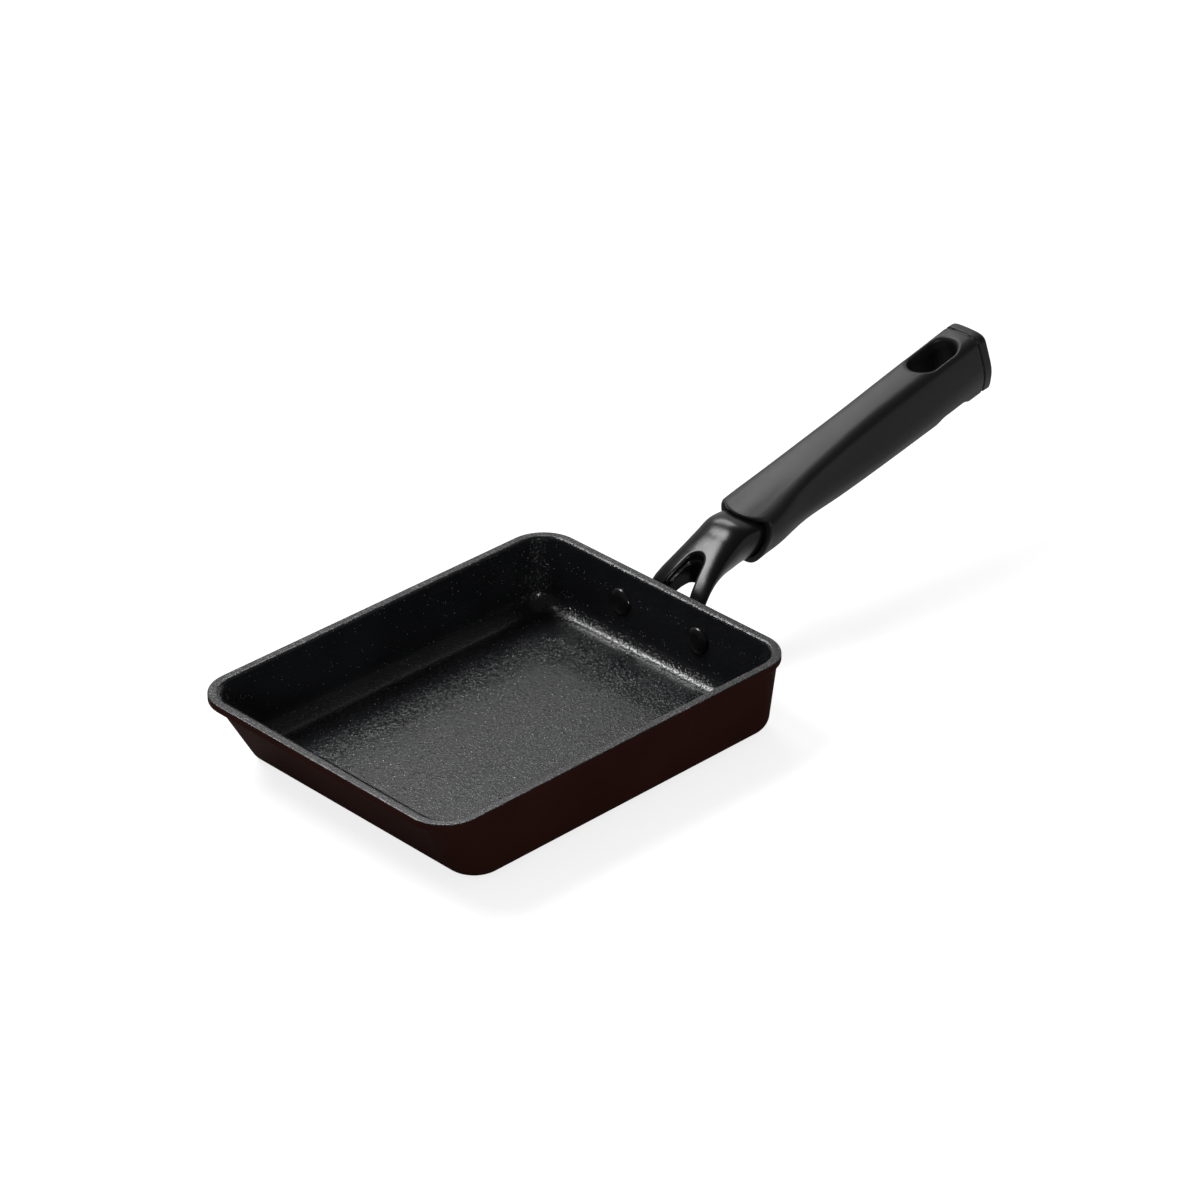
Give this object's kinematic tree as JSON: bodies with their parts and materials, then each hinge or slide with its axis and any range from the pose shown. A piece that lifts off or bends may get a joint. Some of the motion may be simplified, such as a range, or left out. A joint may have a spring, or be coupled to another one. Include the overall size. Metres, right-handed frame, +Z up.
{
  "type": "tamagoyaki pan",
  "caption": "Rectangular rolled-omelette pan with a raked tip wall, a flat rim lip, a forked riveted handle bracket and a moulded grip with a hanging slot.",
  "frame": {"origin": "centre of the base plate's underside, on the surface that the pan stands on", "axes": "+Z up, +X from the pan toward the grip, +Y across the pan"},
  "size_m": [0.3627, 0.14, 0.0866],
  "materials": {
    "coated_body": "semi-matte dark coating with fine orange-peel",
    "base_steel": "brushed",
    "coated_rivet": "satin black coating",
    "black_enamel": "gloss black enamel",
    "moulded_grip": "fine-grained satin black",
    "moulded_cap": "fine-grained satin black",
    "screw_steel": "plain"
  },
  "bodies": {
    "root": {"pan_body": "coated_body", "base_plate": "base_steel", "rivets": "coated_rivet", "bracket": "black_enamel", "grip": "moulded_grip", "end_cap": "moulded_cap", "grip_screw": "screw_steel"}
  },
  "joints": []
}
